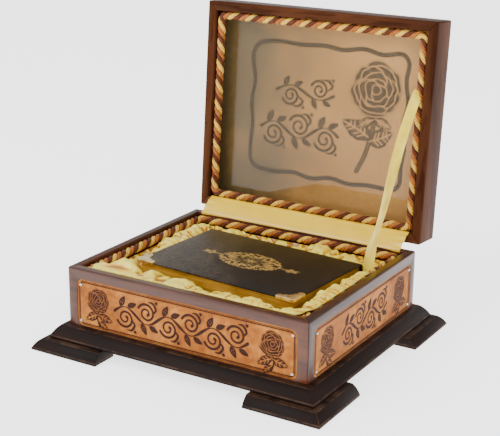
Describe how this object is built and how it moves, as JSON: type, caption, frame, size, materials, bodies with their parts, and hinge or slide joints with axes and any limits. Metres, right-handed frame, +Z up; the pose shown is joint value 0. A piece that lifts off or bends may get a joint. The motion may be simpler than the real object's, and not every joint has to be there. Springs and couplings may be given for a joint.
{
  "type": "quran stand",
  "caption": "Hinged wooden box stand for a holy book on a stepped plinth with corner feet, with tooled leather panels, a glazed lid picture, satin lining and a ribbon stay.",
  "frame": {"origin": "on the surface it stands on, under the middle of the overall box with the lid open", "axes": "+X to the right as seen from the front, +Y to the rear where the lid is hinged, +Z up"},
  "size_m": [0.409, 0.4, 0.3976],
  "materials": {
    "walnut": "red-brown stain under a satin lacquer",
    "ebony": "near-black fine-grained satin paint, worn paler at the edges",
    "board": "plain board",
    "tooled_leather": "caramel leather with dark burnt tooling",
    "suede": "brushed taupe leather with grey-brown tooling",
    "glass": "clear float glass",
    "nickel": "nickel-plated tacks",
    "brass": "brass-plated steel",
    "gold_satin": "shiny gold satin over wadding",
    "lemon_satin": "pale lemon satin ribbon",
    "twisted_cord": "three-strand cord in cream, tan and brown",
    "book_binding": "dark brown leather cloth",
    "gilt_pages": "page block with gilt edges",
    "gilt_metal": "gilt corner plates"
  },
  "bodies": {
    "box": {"book_corner_left": "gilt_metal", "book_corner_right": "gilt_metal", "book_cover": "book_binding", "book_pages": "gilt_pages", "floor_board": "board", "foot_front_left": "ebony", "foot_front_right": "ebony", "foot_rear_left": "ebony", "foot_rear_right": "ebony", "hinge_flap": "gold_satin", "hinge_left_base_leaf": "brass", "hinge_left_pin": "brass", "hinge_right_base_leaf": "brass", "hinge_right_pin": "brass", "lining_floor": "gold_satin", "lining_front": "gold_satin", "lining_left": "gold_satin", "lining_rear": "gold_satin", "lining_right": "gold_satin", "panel_front": "tooled_leather", "panel_front_tack_lower_left": "nickel", "panel_front_tack_lower_right": "nickel", "panel_front_tack_upper_left": "nickel", "panel_front_tack_upper_right": "nickel", "panel_left": "tooled_leather", "panel_left_tack_lower_left": "nickel", "panel_left_tack_lower_right": "nickel", "panel_left_tack_upper_left": "nickel", "panel_left_tack_upper_right": "nickel", "panel_right": "tooled_leather", "panel_right_tack_lower_left": "nickel", "panel_right_tack_lower_right": "nickel", "panel_right_tack_upper_left": "nickel", "panel_right_tack_upper_right": "nickel", "plinth_front": "ebony", "plinth_left": "ebony", "plinth_rear": "ebony", "plinth_right": "ebony", "ribbon_stay": "lemon_satin", "rope_base": "twisted_cord", "wall_front": "walnut", "wall_left": "walnut", "wall_rear": "walnut", "wall_right": "walnut"},
    "lid": {"hinge_left_lid_leaf": "brass", "hinge_right_lid_leaf": "brass", "lid_board": "board", "lid_glass": "glass", "lid_outer_leather": "tooled_leather", "lid_outer_leather_tack_lower_left": "nickel", "lid_outer_leather_tack_lower_right": "nickel", "lid_outer_leather_tack_upper_left": "nickel", "lid_outer_leather_tack_upper_right": "nickel", "lid_picture_leather": "suede", "lid_rail_front": "walnut", "lid_rail_left": "walnut", "lid_rail_rear": "walnut", "lid_rail_right": "walnut", "rope_lid": "twisted_cord"}
  },
  "joints": [
    {"name": "lid_hinge", "type": "hinge", "parent": "box", "child": "lid", "pos_m": [0, 0.12947, 0.104], "axis": [1, 0, 0], "range_deg": [0, 94.4], "deforming": ["ribbon_stay", "hinge_flap"]}
  ]
}
